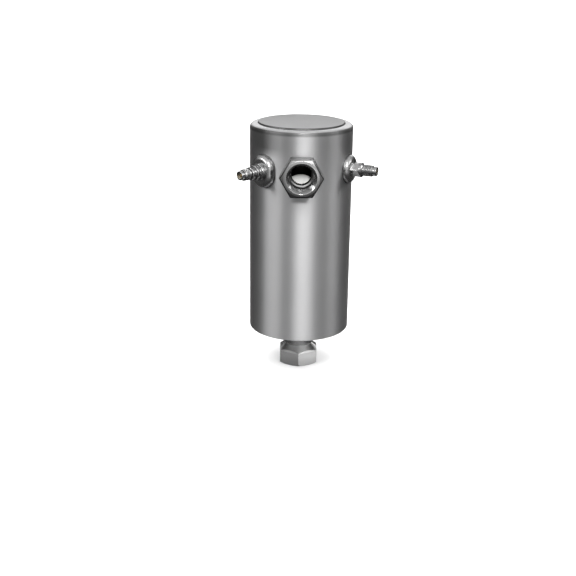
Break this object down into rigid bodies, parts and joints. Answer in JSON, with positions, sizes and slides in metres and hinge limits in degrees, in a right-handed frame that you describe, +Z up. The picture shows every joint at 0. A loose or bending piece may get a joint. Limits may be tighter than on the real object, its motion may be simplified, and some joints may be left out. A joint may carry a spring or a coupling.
{
  "type": "air conditioning accumulator",
  "caption": "Upright metal suction accumulator: hexagonal front inlet, hexagonal bottom outlet, valved side ports, standpipe with deflector dome, oil filter and drying agent bag.",
  "frame": {"origin": "centre of the outlet port's mouth, on the lower face of the outlet fitting's hexagon", "axes": "+Z up along the can's axis, -Y out of the inlet port at the front, +X towards the service port's side"},
  "size_m": [0.136, 0.1207, 0.2523],
  "materials": {
    "can_metal": "satin, lightly polished",
    "weld_metal": "as welded",
    "fitting_metal": "machined",
    "boss_metal": "bright turned",
    "port_metal": "plated, turned",
    "core_brass": "turned",
    "gasket_plastic": "smooth",
    "pin_metal": "drawn",
    "seal_rubber": "matt",
    "spring_steel": "drawn wire",
    "pipe_metal": "drawn tube",
    "cap_nylon": "moulded, natural",
    "screen_mesh": "woven",
    "bag_felt": "felt",
    "tie_nylon": "moulded"
  },
  "bodies": {
    "root": {"shell": "can_metal", "bottom_head": "can_metal", "seam_weld": "weld_metal", "inlet_fitting": "fitting_metal", "outlet_fitting": "fitting_metal", "switch_boss": "boss_metal", "service_boss": "boss_metal", "switch_adapter": "port_metal", "service_adapter": "port_metal", "switch_core_body": "core_brass", "service_core_body": "core_brass", "switch_core_gasket": "gasket_plastic", "service_core_gasket": "gasket_plastic", "switch_core_spring": "spring_steel", "service_core_spring": "spring_steel", "standpipe": "pipe_metal", "deflector_cap": "cap_nylon", "filter_frame": "cap_nylon", "filter_screen": "screen_mesh", "desiccant_bag": "bag_felt", "bag_tie": "tie_nylon"},
    "switch_pin": {"switch_valve_pin": "pin_metal", "switch_pin_seal": "seal_rubber"},
    "service_pin": {"service_valve_pin": "pin_metal", "service_pin_seal": "seal_rubber"}
  },
  "joints": [
    {"name": "switch_pin_press", "type": "slide", "parent": "root", "child": "switch_pin", "axis": [0.7071, 0.7071, 0], "range_m": [0, 0.0012], "stiffness_N_per_m": 1500, "springref_m": -0.002, "deforming": ["switch_core_spring"]},
    {"name": "service_pin_press", "type": "slide", "parent": "root", "child": "service_pin", "axis": [-0.9135, 0.4067, 0], "range_m": [0, 0.0012], "stiffness_N_per_m": 1500, "springref_m": -0.002, "deforming": ["service_core_spring"]}
  ]
}
